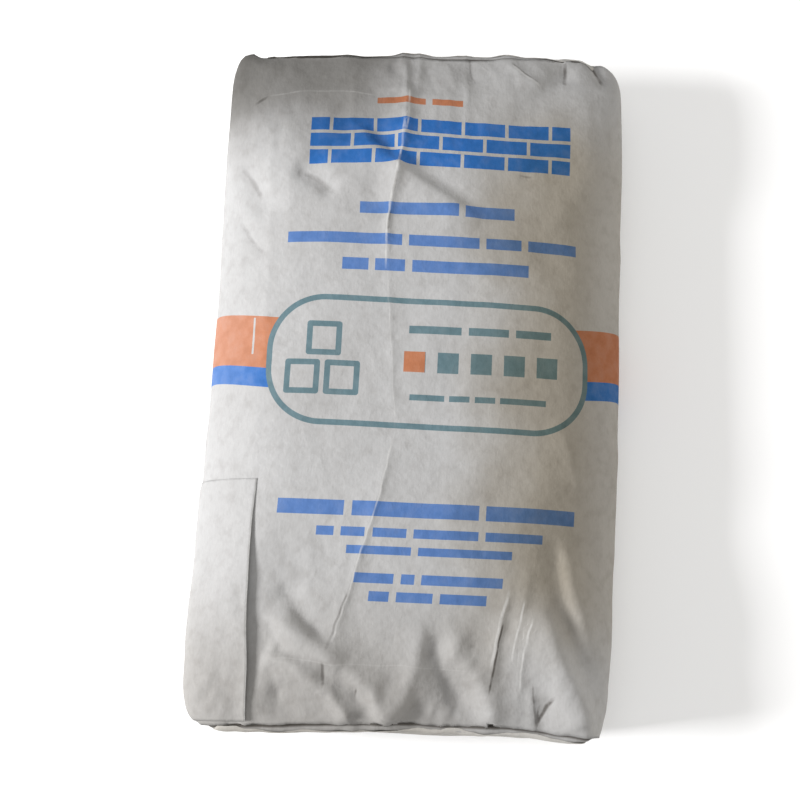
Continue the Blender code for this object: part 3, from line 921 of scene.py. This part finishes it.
class Graph:
    """Small steps for building one material's nodes."""

    def __init__(self, material: bpy.types.Material) -> None:
        """Starts from the material's own shader.

        Args:
            material: A new material.
        """
        material.use_nodes = True
        self.tree = material.node_tree
        self.shader = self.tree.nodes["Principled BSDF"]

    def node(self, kind: str, feeds: Mapping[object, object], **settings: object) -> bpy.types.Node:
        """Adds a node.

        Args:
            kind: The node's type.
            feeds: A socket, a number or a colour for each input, by its name or its place.
            settings: Its properties.

        Returns:
            The new node.
        """
        made = self.tree.nodes.new(kind)
        for name, value in settings.items():
            setattr(made, name, value)
        for name, value in feeds.items():
            self.feed(made.inputs[name], value)
        return made

    def feed(self, target: Socket, value: object) -> None:
        """Links a socket into another, or sets a plain value there.

        Args:
            target: The input.
            value: A socket, a number or a colour.
        """
        if isinstance(value, bpy.types.NodeSocket):
            self.tree.links.new(value, target)
        elif isinstance(value, tuple) and len(value) == 3 and len(target.default_value) == 4:
            target.default_value = (*value, 1.0)
        else:
            target.default_value = value

    def math(self, operation: str, *values: object) -> Socket:
        """A step of arithmetic with sockets and numbers."""
        return self.node("ShaderNodeMath", dict(enumerate(values)), operation=operation).outputs[0]

    def chain(self, operation: str, *values: object) -> Socket:
        """One operation carried through several values.

        Args:
            operation: The math node's operation.
            values: Sockets or numbers.

        Returns:
            The result.
        """
        total = values[0]
        for value in values[1:]:
            total = self.math(operation, total, value)
        return total

    def size(self, value: Socket) -> Socket:
        """A value without its sign."""
        return self.math("ABSOLUTE", value)

    def inside(self, distance: Socket) -> Socket:
        """1 where a signed distance is below 0."""
        return self.math("LESS_THAN", distance, 0.0)

    def rise(self, value: Socket, low: float, high: float, start: float = 0.0, finish: float = 1.0) -> Socket:
        """A smooth rise from start, where the value is low, to finish, where it is high."""
        feeds = dict(enumerate((value, low, high, start, finish)))
        return self.node("ShaderNodeMapRange", feeds, interpolation_type="SMOOTHSTEP").outputs[0]

    def mix(self, share: object, first: object, second: object, blend: str = "MIX") -> Socket:
        """Blends a share of the second colour into the first."""
        feeds = {0: share, 6: first, 7: second}
        return self.node("ShaderNodeMix", feeds, data_type="RGBA", blend_type=blend).outputs[2]

    def tint(self, share: object, colour: object, tint: RGB) -> Socket:
        """A colour darkened by a share of a tint."""
        return self.mix(share, colour, tint, "MULTIPLY")

    def attribute(self, name: str) -> Socket:
        """A number kept at the mesh's points."""
        return self.node("ShaderNodeAttribute", {}, attribute_name=name).outputs["Fac"]

    def parts(self, vector: Socket) -> Sequence[Socket]:
        """The X, Y and Z of a vector."""
        return self.node("ShaderNodeSeparateXYZ", {0: vector}).outputs

    def noise(
        self, place: Socket, scale: float, detail: float = 2.0, stretch: RGB = (1.0, 1.0, 1.0)
    ) -> Socket:
        """Cloudy noise around a half, with a scale in cells for each metre."""
        place = self.node("ShaderNodeMapping", {"Vector": place, "Scale": stretch}).outputs[0]
        return self.node("ShaderNodeTexNoise", {"Vector": place, "Scale": scale, "Detail": detail}).outputs[0]


class PaperGraph(Graph):
    """A paper's nodes, which know their place on the sack and on the flat paper."""

    def __init__(self, material: bpy.types.Material) -> None:
        """Reads the places and the noises that the finish shares.

        Args:
            material: A new material.
        """
        super().__init__(material)
        self.place = self.node("ShaderNodeTexCoord", {}).outputs["Object"]
        self.x, self.y, _ = self.parts(self.place)
        flat = self.node("ShaderNodeUVMap", {}, uv_map=PAPER_MAP).outputs[0]
        self.u, self.v, _ = self.parts(flat)
        self.clouds = self.noise(self.place, 9.0, 3.0)
        self.mottle = self.noise(self.place, 85.0, 5.0)
        self.fibre = self.noise(flat, 520.0, 3.0, (1.0, 0.35, 1.0))


@dataclass(frozen=True)
class Rectangle:
    """A rounded rectangle of the print, in metres of flat paper."""

    across: float
    along: float
    half_width: float
    half_height: float
    radius: float = 0.0
    skew: float = 0.0

    def distance(self, graph: PaperGraph) -> Socket:
        """Distance from the outline, negative inside.

        Args:
            graph: Where the nodes go.

        Returns:
            The signed distance.
        """
        v = graph.math("MULTIPLY_ADD", graph.u, self.skew, graph.v) if self.skew else graph.v
        sides = []
        places = ((graph.u, self.across, self.half_width), (v, self.along, self.half_height))
        for value, middle, half in places:
            offset = graph.size(graph.math("SUBTRACT", value, middle))
            sides.append(graph.math("SUBTRACT", offset, half - self.radius))
        outside = [graph.math("MAXIMUM", side, 0.0) for side in sides]
        squares = [graph.math("MULTIPLY", side, side) for side in outside]
        corner = graph.math("SQRT", graph.math("ADD", *squares))
        flat = graph.math("MINIMUM", graph.math("MAXIMUM", *sides), 0.0)
        return graph.math("SUBTRACT", graph.math("ADD", corner, flat), self.radius)


@dataclass(frozen=True)
class BarRow:
    """A row of plain bars, in metres of flat paper."""

    along: float
    thickness: float
    widths: tuple[float, ...]
    centre: float = 0.017
    gap: float = 0.007

    def mask(self, graph: PaperGraph) -> Socket:
        """1 on the bars.

        Args:
            graph: Where the nodes go.

        Returns:
            The mask.
        """
        total = sum(self.widths) + self.gap * (len(self.widths) - 1)
        from_start = graph.math("SUBTRACT", graph.u, self.centre - total / 2)
        ramp = graph.node("ShaderNodeValToRGB", {0: graph.math("DIVIDE", from_start, total)})
        ramp.color_ramp.interpolation = "CONSTANT"
        stops = ramp.color_ramp.elements
        stops[0].position = 0.0
        stops[0].color = WHITE
        stops.remove(stops[1])
        place = 0.0
        for width in self.widths[:-1]:
            place += width
            stops.new(place / total).color = BLACK
            place += self.gap
            stops.new(place / total).color = WHITE
        box = Rectangle(self.centre, self.along, total / 2, self.thickness / 2)
        return graph.math("MULTIPLY", ramp.outputs[0], graph.inside(box.distance(graph)))


@dataclass(frozen=True)
class BrickPanel:
    """A solid panel of running-bond bricks."""

    across: float
    along: float
    courses: int
    brick: float
    course: float
    joint: float
    bricks: int

    def mask(self, graph: PaperGraph) -> Socket:
        """1 on the bricks.

        Args:
            graph: Where the nodes go.

        Returns:
            The mask.
        """
        half_width = self.brick * self.bricks / 2
        half_height = self.course * self.courses / 2
        place = graph.node("ShaderNodeCombineXYZ", {
            0: graph.math("SUBTRACT", graph.u, self.across - half_width),
            1: graph.math("SUBTRACT", graph.v, self.along - half_height),
        })
        wall = graph.node("ShaderNodeTexBrick", {
            "Vector": place.outputs[0], "Scale": 1.0, "Mortar Size": self.joint / 2, "Mortar Smooth": 0.0,
            "Brick Width": self.brick, "Row Height": self.course,
        }, offset=0.5)
        panel = Rectangle(self.across, self.along, half_width - self.joint / 2, half_height - self.joint / 2)
        joints = graph.math("SUBTRACT", 1.0, wall.outputs["Fac"])
        return graph.math("MULTIPLY", joints, graph.inside(panel.distance(graph)))


@dataclass(frozen=True)
class Print:
    """The plain print: two bands round the sack, a framed panel, a brick panel and rows of bars."""

    panel: Rectangle = Rectangle(0.0115, 0.0045, 0.162, 0.0665, 0.058, 0.01)
    stroke: float = 0.0058
    orange: Point = (-0.006, 0.047)
    blue: Point = (-0.0255, -0.006)
    band_rise: float = 0.01
    row_cover: float = 0.84
    missed: Rectangle = Rectangle(-0.1665, 0.029, 0.0011, 0.019, 0.001)
    bricks: BrickPanel = BrickPanel(0.0165, 0.239, 3, 0.0455, 0.0185, 0.0036, 6)
    rule: BarRow = BarRow(0.286, 0.007, (0.05, 0.032), -0.006)
    blocks: tuple[Rectangle, ...] = tuple(
        Rectangle(across, along, 0.0175, 0.0175, 0.003)
        for across, along in ((-0.113, -0.013), (-0.0735, -0.013), (-0.093, 0.0265))
    )
    rows: tuple[BarRow, ...] = (
        BarRow(0.165, 0.0125, (0.1, 0.0505), 0.0155),
        BarRow(0.132, 0.0115, (0.1155, 0.072, 0.035, 0.0515), 0.0115),
        BarRow(0.105, 0.0125, (0.026, 0.03, 0.118), 0.015),
        BarRow(-0.1415, 0.0145, (0.0645, 0.123, 0.0885), 0.0194),
        BarRow(-0.164, 0.0088, (0.0163, 0.0235, 0.0326, 0.0616, 0.056), 0.0232),
        BarRow(-0.181, 0.008, (0.0615, 0.09), 0.0242),
        BarRow(-0.2075, 0.0095, (0.0375, 0.0125, 0.0775), 0.026),
        BarRow(-0.2245, 0.0095, (0.019, 0.0345, 0.0444), 0.0269),
    )
    panel_rows: tuple[BarRow, ...] = (
        BarRow(0.039, 0.008, (0.052, 0.04, 0.036), 0.062),
        BarRow(0.006, 0.021, (0.021,) * 5, 0.0635, 0.012),
        BarRow(-0.03, 0.006, (0.034, 0.02, 0.02, 0.046), 0.062, 0.005),
    )
    marker: Rectangle = Rectangle(-0.0025, 0.006, 0.0105, 0.0105)

    def colour(self, graph: PaperGraph, paper: Socket, strength: Socket) -> Socket:
        """Lays the inks over the paper.

        Args:
            graph: Where the nodes go.
            paper: The bare paper's colour.
            strength: How well the ink covers, from 0 to 1, thinned towards the left by a painted reflection
                of the key light.

        Returns:
            The printed colour.
        """
        edge = self.panel.distance(graph)
        clear = graph.math("MULTIPLY", graph.math("GREATER_THAN", edge, 0.0),
                           graph.math("GREATER_THAN", self.missed.distance(graph), 0.0))
        rise = graph.rise(graph.size(graph.u), 0.13, 0.23, 0.0, self.band_rise)
        level = graph.math("SUBTRACT", graph.v, rise)
        orange, blue = (self.band(graph, level, reach, clear) for reach in (self.orange, self.blue))
        marker = graph.inside(self.marker.distance(graph))
        strokes = [self.outlined(graph, edge)]
        strokes += [self.outlined(graph, block.distance(graph)) for block in self.blocks]
        inner = [row.mask(graph) for row in self.panel_rows]
        bars = graph.chain("MAXIMUM", *(row.mask(graph) for row in self.rows))
        bars = graph.math("MULTIPLY", bars, self.row_cover)
        masks = {
            Ink.ORANGE: graph.chain("MAXIMUM", orange, marker, self.rule.mask(graph)),
            Ink.BLUE: graph.chain("MAXIMUM", blue, self.bricks.mask(graph), bars),
            Ink.TEAL: graph.math("SUBTRACT", graph.chain("MAXIMUM", *strokes, *inner), marker),
        }
        colour = paper
        for ink, mask in masks.items():
            colour = graph.mix(graph.math("MULTIPLY", mask, strength), colour, ink.value)
        return colour

    def outlined(self, graph: PaperGraph, distance: Socket) -> Socket:
        """The mask of a stroke just inside an outline."""
        middle = graph.math("ADD", distance, self.stroke / 2)
        return graph.math("LESS_THAN", graph.size(middle), self.stroke / 2)

    def band(self, graph: PaperGraph, v: Socket, reach: Point, clear: Socket) -> Socket:
        """The mask of a band round the sack, between its two edges and outside the panel."""
        edges = (graph.math("GREATER_THAN", v, reach[0]), graph.math("LESS_THAN", v, reach[1]))
        return graph.chain("MULTIPLY", *edges, clear)


@dataclass(frozen=True)
class PaperFinish:
    """Dusty kraft paper, with or without the print, with painted shade and highlight."""

    name: str
    clean: RGB = (0.33, 0.328, 0.326)
    grey: RGB = (0.86, 0.85, 0.84)
    # Tan tint of the right side: partly yellowed dust, partly painted shade on the side turned from the key
    # light
    tan_and_shade: RGB = (0.65, 0.59, 0.485)
    # Darkening of the top end and its left corner: partly dust, mostly painted shade where the paper slopes
    # away from the key light
    grime_and_shade: RGB = (0.43, 0.42, 0.4)
    # Darkening of the bottom end: partly dust, partly painted shade of its slope
    lower_grime_and_shade: RGB = (0.77, 0.75, 0.72)
    shadow: RGB = (0.24, 0.22, 0.2)
    # Paler paper of the lap's free edge and of the pale fold lines: partly rubbed, partly painted highlight
    rubbed_and_lit: RGB = (0.52, 0.515, 0.5)
    printed: Print | None = None
    bump_strength: float = 0.35
    bump_depth: float = 0.0005

    def build(self) -> bpy.types.Material:
        """Makes the material.

        Returns:
            The material.
        """
        material = bpy.data.materials.new(self.name)
        graph = PaperGraph(material)
        colour = graph.tint(graph.rise(graph.fibre, 0.35, 0.75, 0.0, 0.35), self.clean, self.grey)
        if self.printed:
            ink_cover_and_glare = graph.rise(graph.mottle, 0.25, 0.6, 0.93, 1.0)
            # Thinner ink towards the left side: a painted reflection of the key light, over the ink's patchy
            # cover.
            ink_cover_and_glare = graph.math("MULTIPLY", ink_cover_and_glare, graph.rise(graph.x, -0.2, -0.12, 0.86, 1.0))
            colour = self.printed.colour(graph, colour, ink_cover_and_glare)
            beyond = graph.math("SUBTRACT", graph.size(graph.v), LIP_PLACE)
            edges = (graph.rise(beyond, -0.0008, 0.0001), graph.rise(beyond, 0.0028, 0.0016))
            colour = graph.tint(graph.math("MULTIPLY", *edges), colour, self.shadow)
        colour = self.dusted_and_shaded(graph, colour)
        # Paler where marked, on the lap's free edge: partly bare cut paper, partly painted highlight of the
        # lit edge.
        colour = graph.mix(graph.rise(graph.attribute(LIT_WORN_EDGE), 0.4, 1.0, 0.0, 0.75), colour, self.rubbed_and_lit)
        if self.printed:
            colour = self.lined(graph, colour)
        graph.feed(graph.shader.inputs["Base Color"], colour)
        graph.feed(graph.shader.inputs["Roughness"], graph.rise(graph.mottle, 0.3, 0.7, 0.72, 0.88))
        graph.feed(graph.shader.inputs["Specular IOR Level"], 0.22)
        self.relief(graph)
        return material

    def dusted_and_shaded(self, graph: PaperGraph, colour: Socket) -> Socket:
        """Dust and dirt over the paper and its print, with painted shade on the right side and at the ends.

        Args:
            graph: Where the nodes go.
            colour: The clean colour.

        Returns:
            The colour.
        """
        drift = graph.math("MULTIPLY", graph.math("SUBTRACT", graph.clouds, 0.5), 0.12)
        across, along = (graph.math("ADD", place, drift) for place in (graph.x, graph.y))
        right_edge = graph.rise(graph.x, 0.15, 0.2, 1.0, 0.6)
        away_from_ends = graph.rise(graph.size(along), 0.32, 0.2)
        patches = (
            (self.grey, graph.rise(graph.clouds, 0.35, 0.7, 0.0, 0.45)),
            (self.grey, graph.rise(graph.mottle, 0.45, 0.75, 0.0, 0.6)),
            # Right side: tan dust and painted shade away from the key light
            (self.tan_and_shade, graph.rise(across, 0.02, 0.13), right_edge, away_from_ends),
            # Top end, stronger on the left: dust and painted shade where it slopes away from the light
            (self.grime_and_shade, graph.rise(along, 0.185, 0.318), graph.rise(across, 0.0, -0.08, 0.28, 1.0)),
            # Top left corner: painted shade
            (self.grime_and_shade, graph.rise(along, 0.25, 0.33), graph.rise(across, -0.15, -0.2, 0.0, 0.7)),
            # Bottom end, left of the middle: dust and painted shade of its slope
            (self.lower_grime_and_shade, graph.rise(along, -0.17, -0.33), graph.rise(across, 0.12, 0.0, 0.35, 1.0)),
        )
        for tint, *shares in patches:
            colour = graph.tint(graph.chain("MULTIPLY", *shares), colour, tint)
        return colour

    def lined(self, graph: PaperGraph, colour: Socket) -> Socket:
        """Lines along the folds of the upper face, broken up by fine noise: dark ones of painted shade, pale
        ones of rubbed paper and painted highlight.

        Args:
            graph: Where the nodes go.
            colour: The colour so far.

        Returns:
            The colour.
        """
        patchy = graph.rise(graph.mottle, 0.35, 0.55, 0.45, 1.0)
        for name, pale in LINE_NAMES.items():
            line = graph.rise(graph.size(graph.attribute(name + GAP)), 1.7, 0.3)
            share = graph.chain("MULTIPLY", line, graph.attribute(name), patchy)
            if pale:
                # Pale line: rubbed paper and painted highlight.
                colour = graph.mix(share, colour, self.rubbed_and_lit)
            else:
                # Dark line: painted shade in the fold.
                colour = graph.tint(share, colour, self.shadow)
        return colour

    def relief(self, graph: PaperGraph) -> None:
        """Fine creases, crinkles, dents and fibres as bump.

        Args:
            graph: Where the nodes go.
        """
        creases = graph.size(graph.math("SUBTRACT", graph.noise(graph.place, 28.0, 3.0), 0.5))
        crinkle = graph.size(graph.math("SUBTRACT", graph.noise(graph.place, 90.0), 0.5))
        height = graph.math("MULTIPLY_ADD", graph.math("MINIMUM", creases, 0.06), -12.0, graph.fibre)
        height = graph.math("MULTIPLY_ADD", crinkle, -3.0, height)
        for scale, weight in ((48.0, 2.5), (140.0, 1.6)):
            dents = graph.node("ShaderNodeTexVoronoi", {"Vector": graph.place, "Scale": scale}, feature="F1")
            height = graph.math("MULTIPLY_ADD", dents.outputs["Distance"], weight, height)
        feeds = {"Strength": self.bump_strength, "Distance": self.bump_depth, "Height": height}
        graph.feed(graph.shader.inputs["Normal"], graph.node("ShaderNodeBump", feeds).outputs[0])


def paper_sheet(
    name: str, points: Sequence[Vector], flats: Sequence[Point], columns: int, winding: Sequence[int]
) -> Piece:
    """A sheet of paper without thickness, from rows of points.

    Args:
        name: The piece's name.
        points: The points, row after row.
        flats: Each point's place on the flat paper.
        columns: Points in a row.
        winding: The order of a face's corners, which run from 0 at its lower left through its lower right.

    Returns:
        The piece.
    """
    index = np.arange(len(points)).reshape(-1, columns)
    corners = (index[:-1, :-1], index[:-1, 1:], index[1:, 1:], index[1:, :-1])
    faces = np.stack([corners[turn] for turn in winding], axis=-1).reshape(-1, 4)
    mesh = bpy.data.meshes.new(name)
    mesh.from_pydata(points, [], faces.tolist())
    mesh.uv_layers.new(name=PAPER_MAP).uv.foreach_set("vector", np.array(flats)[faces.ravel()].ravel())
    return add_to_scene(name, mesh)


def thicken(piece: Piece, thickness: float) -> Piece:
    """Gives a sheet its thickness, outwards.

    Args:
        piece: The sheet.
        thickness: In metres.

    Returns:
        The same piece.
    """
    wall = piece.modifiers.new("thickness", "SOLIDIFY")
    wall.thickness = thickness
    wall.offset = 1.0
    apply_modifier(piece, wall)
    piece.data.shade_smooth()
    return piece


@dataclass
class SeamLap:
    """The loose lap of the outer ply: a sheet that stands off the skin along its free edge."""

    form: SackForm
    edge: float = 0.15
    girth: float = 0.146
    reach: Point = (-0.3405, -0.1155)
    thickness: float = 0.0004
    rows: int = 91
    columns: int = 59
    lift: float = 0.0062
    open_width: float = 0.05
    widest: float = -0.235
    closing: float = 0.55
    closing_from: float = -0.285
    side_lift: float = 0.0016
    side_ridge: Point = (0.085, 0.035)
    side_from: float = -0.125
    waver: float = 0.0006
    waver_turns: float = 70.0
    slant: float = 0.035
    slant_from: float = -0.2
    search: float = 0.03
    step: float = 0.002

    def gap(self, girth: Array, y: float) -> Array:
        """Gap between the lap and the skin.

        Args:
            girth: Distances round the sack from the free edge.
            y: The place along the sack.

        Returns:
            The gap at each distance.
        """
        low, high = self.reach
        opening = smooth_step(high, self.widest, y)
        opening *= 1.0 - self.closing * smooth_step(self.closing_from, low, y)
        edge = np.clip(1.0 - girth / self.open_width, 0.0, 1.0) ** 2
        side = bell(girth, *self.side_ridge) * smooth_step(high, self.side_from, y)
        return PASTED_GAP + self.lift * opening * edge + self.side_lift * side

    def build(self, skin: BVHTree) -> Piece:
        """Makes the lap over the finished skin.

        Args:
            skin: The skin that the lap lies on.

        Returns:
            The finished piece.
        """
        girth = np.linspace(0.0, self.girth, self.columns)
        sheet, flats = [], []
        for y in np.linspace(*self.reach, self.rows):
            around = self.edge + girth + self.waver * math.sin(self.waver_turns * y)
            around -= self.slant * max(0.0, self.slant_from - y)
            for point, normal, away in zip(*self.ribbon(y, around), self.gap(girth, y)):
                hit, _, _, _ = skin.ray_cast(point + normal * self.search, -normal, 2 * self.search)
                sheet.append((hit or point) + normal * away)
            flats.extend((-distance, y) for distance in around)
        piece = paper_sheet("seam_lap_paper", sheet, flats, self.columns, (0, 3, 2, 1))
        # Marks the free edge for the paler colour: bare cut paper and a painted highlight of the lit edge.
        add_attribute(piece, LIT_WORN_EDGE, np.tile(girth == 0.0, self.rows).astype(float))
        return thicken(piece, self.thickness)

    def ribbon(self, y: float, around: Array) -> tuple[list[Vector], list[Vector]]:
        """Points and outward normals of the form, at distances from the crown line down the left side.

        Args:
            y: The place along the sack.
            around: The distances.

        Returns:
            The points and the normals.
        """
        section = self.form.section(y)[self.form.dense // 2 :]
        lengths = lengths_along(section)
        (x, z), (next_x, next_z) = (
            [np.interp(places, lengths, values) for values in section.T]
            for places in (around, around + self.step)
        )
        points = self.form.settled(np.column_stack([x, np.full(len(x), y), z]))
        normals = [Vector((up, 0.0, -over)).normalized() for up, over in zip(next_z - z, next_x - x)]
        return [Vector(point) for point in points], normals


@dataclass
class EndPatch:
    """A paper strip pasted over an end, which follows the end's bulge."""

    form: SackForm
    name: str
    end: int
    share: float = 0.93
    thickness: float = 0.0005
    edge_lift: float = 0.0004
    rows: int = 22
    columns: int = 80
    corner_cut: float = 0.035
    search: float = 0.06
    map_start: float = 0.4

    def build(self, skin: BVHTree) -> Piece:
        """Makes the patch over the finished skin.

        Args:
            skin: The skin that the patch is pasted to.

        Returns:
            The finished piece.
        """
        half_width = self.form.end_width / 2 * self.share
        half_height = (self.form.end_top - self.form.end_lift) / 2 * self.share
        inwards = Vector((0.0, -self.end, 0.0))
        sheet = []
        for t in np.linspace(-1.0, 1.0, self.rows):
            for s in np.linspace(-1.0, 1.0, self.columns):
                corner = 1.0 - self.corner_cut * (abs(t) ** 6) * (abs(s) ** 10)
                x = self.form.middle_x + half_width * s * corner
                z = self.form.end_middle + half_height * t * corner
                origin = Vector((x, self.end * (self.form.half_length + self.search), z))
                hit, _, _, _ = skin.ray_cast(origin, inwards, 2 * self.search)
                lift = self.edge_lift * abs(t) ** 12 * (1.0 + math.sin(23.0 * s + 4.0 * t))
                sheet.append(hit - inwards * (PASTED_GAP + lift))
        flats = [(point.x, self.end * self.map_start + point.z) for point in sheet]
        winding = (0, 1, 2, 3) if self.end < 0 else (3, 2, 1, 0)
        return thicken(paper_sheet(self.name, sheet, flats, self.columns, winding), self.thickness)


@dataclass
class CementSack:
    """The whole dressed sack."""

    def build(self) -> None:
        """Makes and dresses every piece."""
        form = SackForm(*(Vector(corner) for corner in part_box("filled_sack")))
        skin = Skin(form).build()
        corners = [vertex.co for vertex in skin.data.vertices]
        tree = BVHTree.FromPolygons(corners, [face.vertices for face in skin.data.polygons])
        lap = SeamLap(form).build(tree)
        printed = PaperFinish("printed_kraft", printed=Print()).build()
        plain = PaperFinish("patch_kraft", clean=(0.42, 0.41, 0.39)).build()
        bare = PaperFinish("lap_kraft").build()
        self.dress(skin, "filled_sack", printed)
        self.dress(lap, "seam_lap", bare)
        for side, end in (("bottom", -1), ("top", 1)):
            patch = EndPatch(form, f"{side}_patch_paper", end).build(tree)
            self.dress(patch, f"{side}_end_patch", plain)

    def dress(self, piece: Piece, node: str, material: bpy.types.Material) -> None:
        """Gives a piece its material, and puts it in place of its solid.

        Args:
            piece: The piece.
            node: The solid that it stands for.
            material: Its finish.
        """
        piece.data.materials.clear()
        piece.data.materials.append(material)
        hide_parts(node)
        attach(piece, "root")
        LOG.info("%s: %d faces, in place of %s", piece.name, len(piece.data.polygons), node)


@dataclass(frozen=True)
class SoftLight:
    """A soft rectangular light that faces a place on the sack's middle line."""

    name: str
    place: RGB
    target_height: float
    size: Point
    power: float
    colour: RGB

    def build(self) -> None:
        """Adds the light."""
        data = bpy.data.lights.new(self.name, "AREA")
        data.shape = "RECTANGLE"
        data.size, data.size_y = self.size
        data.energy = self.power
        data.color = self.colour
        light = add_to_scene(self.name, data)
        light.location = self.place
        aim = Vector((0.0, 0.0, self.target_height)) - Vector(self.place)
        light.rotation_euler = aim.to_track_quat("-Z", "Y").to_euler()


@dataclass
class Studio:
    """A pale floor, soft light and the camera, none of it part of the object."""

    floor_size: float = 12.0
    floor_grey: float = 0.9
    floor_roughness: float = 0.9
    sky: RGB = (1.0, 0.985, 0.965)
    sky_strength: float = 0.45
    camera_distance: float = 1.25
    tilt: float = 12.5
    roll: float = 2.6
    lens: float = 54.16
    aim: RGB = (-0.0035, -0.0135, 0.065)
    shift: Point = (-0.0125, -0.0069)
    lights: tuple[SoftLight, ...] = (
        SoftLight("window_light", (-2.9, -0.45, 1.6), 0.08, (0.9, 0.9), 184.0, (0.99, 0.99, 1.0)),
        SoftLight("fill_light", (2.6, 0.3, 0.4), 0.06, (1.4, 0.8), 23.0, (1.0, 0.95, 0.85)),
        SoftLight("ceiling_light", (0.3, 0.2, 2.6), 0.0, (2.5, 2.5), 30.0, (0.98, 0.99, 1.0)),
    )

    def build(self) -> None:
        """Makes the floor, the lights and the camera."""
        self.floor()
        for light in self.lights:
            light.build()
        world = bpy.data.worlds.new("studio")
        world.use_nodes = True
        colour, strength = world.node_tree.nodes["Background"].inputs[:2]
        colour.default_value = (*self.sky, 1.0)
        strength.default_value = self.sky_strength
        bpy.context.scene.world = world
        bpy.context.scene.view_settings.view_transform = "Standard"
        self.camera()

    def floor(self) -> None:
        """A plain pale floor."""
        mesh = bpy.data.meshes.new("floor")
        half = self.floor_size / 2
        corners = [(-half, -half, 0), (half, -half, 0), (half, half, 0), (-half, half, 0)]
        mesh.from_pydata(corners, [], [(0, 1, 2, 3)])
        floor = add_to_scene("floor", mesh)
        material = bpy.data.materials.new("floor_white")
        graph = Graph(material)
        graph.feed(graph.shader.inputs["Base Color"], (self.floor_grey,) * 3)
        graph.feed(graph.shader.inputs["Roughness"], self.floor_roughness)
        mesh.materials.append(material)

    def camera(self) -> None:
        """The camera that looks down on the sack, turned slightly about its own axis."""
        tilt, roll = math.radians(self.tilt), math.radians(self.roll)
        ahead = Vector((0.0, math.sin(tilt), -math.cos(tilt)))
        right = Vector((1.0, 0.0, 0.0))
        up = right.cross(ahead)
        turned_right = right * math.cos(roll) + up * math.sin(roll)
        turned_up = up * math.cos(roll) - right * math.sin(roll)
        data = bpy.data.cameras.new("camera")
        data.lens = self.lens
        data.shift_x, data.shift_y = self.shift
        camera = add_to_scene("camera", data)
        place = Vector(self.aim) - ahead * self.camera_distance
        turn = Matrix((turned_right, turned_up, -ahead)).transposed()
        camera.matrix_world = Matrix.Translation(place) @ turn.to_4x4()
        bpy.context.scene.camera = camera


def main() -> None:
    """Builds the stage and the sack."""
    logging.basicConfig(level=logging.INFO, format="%(name)s: %(message)s")
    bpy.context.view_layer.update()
    Studio().build()
    CementSack().build()


if __name__ == "__main__":
    main()
